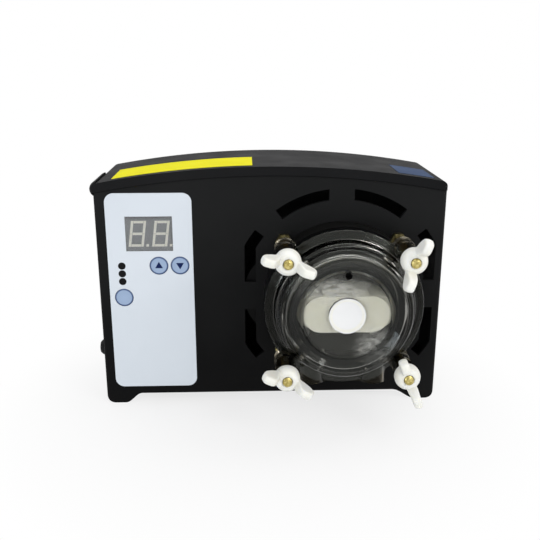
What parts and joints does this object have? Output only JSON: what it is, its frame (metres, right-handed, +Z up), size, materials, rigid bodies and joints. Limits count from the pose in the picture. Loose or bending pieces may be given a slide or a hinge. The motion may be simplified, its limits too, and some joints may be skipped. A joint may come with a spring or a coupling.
{
  "type": "peristaltic pump",
  "caption": "Wall or bench peristaltic dosing pump with a keypad and display on the left and a roller head under a clear cover held by wing nuts on the right.",
  "frame": {"origin": "centre of the part's footprint box, at the level of the undersides of the feet", "axes": "+Z up, the control panel and the pump head face -Y, +X to the right seen from the front, towards the pump head"},
  "size_m": [0.1936, 0.1174, 0.1356],
  "materials": {
    "black_housing": "moulded black ABS with a fine satin grain",
    "black_hood": "moulded black ABS with a satin grain",
    "back_plate_plastic": "plain moulded black ABS",
    "head_plastic": "smooth black thermoplastic",
    "clear_cover": "clear polycarbonate",
    "clear_window": "clear polyester window",
    "overlay_film": "pale grey-blue printed polyester film, left unprinted",
    "display_grey": "grey filled face of a numeric display",
    "segment": "diffused segment, unlit",
    "lamp_window": "dark tinted lamp window",
    "lamp": "red diffused lamp",
    "key_blue": "pale blue key",
    "board": "green circuit board",
    "switch_black": "black tactile switch",
    "transformer_iron": "laminated iron core with its winding",
    "terminal_green": "green terminal block",
    "capacitor_sleeve": "dark sleeve",
    "zinc_steel": "zinc plated steel",
    "bright_steel": "ground steel",
    "brass_thread": "turned brass",
    "bronze": "sintered bronze",
    "wing_nylon": "white nylon",
    "rotor_white": "off-white acetal",
    "roller_white": "off-white acetal",
    "tube_black": "black elastomer squeeze tube",
    "nipple_black": "black hose nipple",
    "gland_black": "black nylon",
    "gear_nylon": "cream machined nylon",
    "case_metal": "dark die-cast gearbox",
    "motor_metal": "drawn steel can",
    "yellow_label": "plain yellow label, left unprinted",
    "blue_label": "plain dark blue label, left unprinted"
  },
  "bodies": {
    "pump_body": {"front_panel": "black_housing", "housing_tray": "black_housing", "hood": "black_hood", "wall_plate": "back_plate_plastic", "shell_screws": "zinc_steel", "cord_gland": "gland_black", "gland_nut": "gland_black", "colour_strip": "yellow_label", "small_sticker": "blue_label", "overlay": "overlay_film", "display_window": "clear_window", "display_module": "display_grey", "display_segments": "segment", "indicator_windows": "lamp_window", "indicator_lamps": "lamp", "key_switches": "switch_black", "control_board": "board", "board_screws": "zinc_steel", "transformer": "transformer_iron", "terminal_block": "terminal_green", "capacitors": "capacitor_sleeve", "head_base": "head_plastic", "base_screws": "zinc_steel", "shaft_bush": "bronze", "squeeze_tube": "tube_black", "tube_nipples": "nipple_black", "studs": "brass_thread", "stud_nuts": "brass_thread", "stud_back_nuts": "brass_thread", "idler_pin": "bright_steel", "gearbox_case": "case_metal", "gearbox_lid": "case_metal", "gearbox_screws": "zinc_steel", "motor": "motor_metal", "motor_screws": "zinc_steel"},
    "rotor_body": {"rotor": "rotor_white", "rotor_set_screw": "zinc_steel", "roller_pins": "bright_steel", "output_shaft": "bright_steel", "output_wheel": "gear_nylon"},
    "left_roller": {"roller_left": "roller_white"},
    "right_roller": {"roller_right": "roller_white"},
    "idler": {"idler_gear": "gear_nylon"},
    "motor_shaft": {"motor_pinion": "bright_steel"},
    "cover": {"head_cover": "clear_cover"},
    "top_left_nut": {"wing_nut_top_left": "wing_nylon"},
    "top_right_nut": {"wing_nut_top_right": "wing_nylon"},
    "low_left_nut": {"wing_nut_low_left": "wing_nylon"},
    "low_right_nut": {"wing_nut_low_right": "wing_nylon"},
    "up_key": {"up_button": "key_blue"},
    "down_key": {"down_button": "key_blue"},
    "mode_key": {"mode_button": "key_blue"}
  },
  "joints": [
    {"name": "rotor_spin", "type": "hinge", "parent": "pump_body", "child": "rotor_body", "pos_m": [0.0403, -0.02345, 0.064], "axis": [0, -1, 0], "continuous": true},
    {"name": "left_roller_spin", "type": "hinge", "parent": "rotor_body", "child": "left_roller", "pos_m": [0.0233, -0.02345, 0.064], "axis": [0, -1, 0], "continuous": true},
    {"name": "right_roller_spin", "type": "hinge", "parent": "rotor_body", "child": "right_roller", "pos_m": [0.0573, -0.02345, 0.064], "axis": [0, -1, 0], "continuous": true},
    {"name": "idler_spin", "type": "hinge", "parent": "pump_body", "child": "idler", "pos_m": [0.0133, 0.00675, 0.064], "axis": [0, -1, 0], "continuous": true},
    {"name": "motor_spin", "type": "hinge", "parent": "pump_body", "child": "motor_shaft", "pos_m": [0.0403, 0.01275, 0.064], "axis": [0, -1, 0], "continuous": true},
    {"name": "cover_slide", "type": "slide", "parent": "pump_body", "child": "cover", "axis": [0, -1, 0], "range_m": [0, 0.06]},
    {"name": "top_left_nut_turn", "type": "hinge", "parent": "cover", "child": "top_left_nut", "pos_m": [0.0093, -0.04425, 0.095], "axis": [0, -1, 0], "continuous": true},
    {"name": "top_right_nut_turn", "type": "hinge", "parent": "cover", "child": "top_right_nut", "pos_m": [0.0713, -0.04425, 0.095], "axis": [0, -1, 0], "continuous": true},
    {"name": "low_left_nut_turn", "type": "hinge", "parent": "cover", "child": "low_left_nut", "pos_m": [0.0093, -0.04425, 0.033], "axis": [0, -1, 0], "continuous": true},
    {"name": "low_right_nut_turn", "type": "hinge", "parent": "cover", "child": "low_right_nut", "pos_m": [0.0713, -0.04425, 0.033], "axis": [0, -1, 0], "continuous": true},
    {"name": "up_key_press", "type": "slide", "parent": "pump_body", "child": "up_key", "axis": [0, 1, 0], "range_m": [0, 0.0006], "stiffness_N_per_m": 1500},
    {"name": "down_key_press", "type": "slide", "parent": "pump_body", "child": "down_key", "axis": [0, 1, 0], "range_m": [0, 0.0006], "stiffness_N_per_m": 1500},
    {"name": "mode_key_press", "type": "slide", "parent": "pump_body", "child": "mode_key", "axis": [0, 1, 0], "range_m": [0, 0.0006], "stiffness_N_per_m": 1500}
  ],
  "couplings": [
    {"joint": "left_roller_spin", "follows": "rotor_spin", "ratio": -2.8889},
    {"joint": "right_roller_spin", "follows": "rotor_spin", "ratio": -2.8889},
    {"joint": "idler_spin", "follows": "rotor_spin", "ratio": -5},
    {"joint": "motor_spin", "follows": "rotor_spin", "ratio": 25}
  ]
}
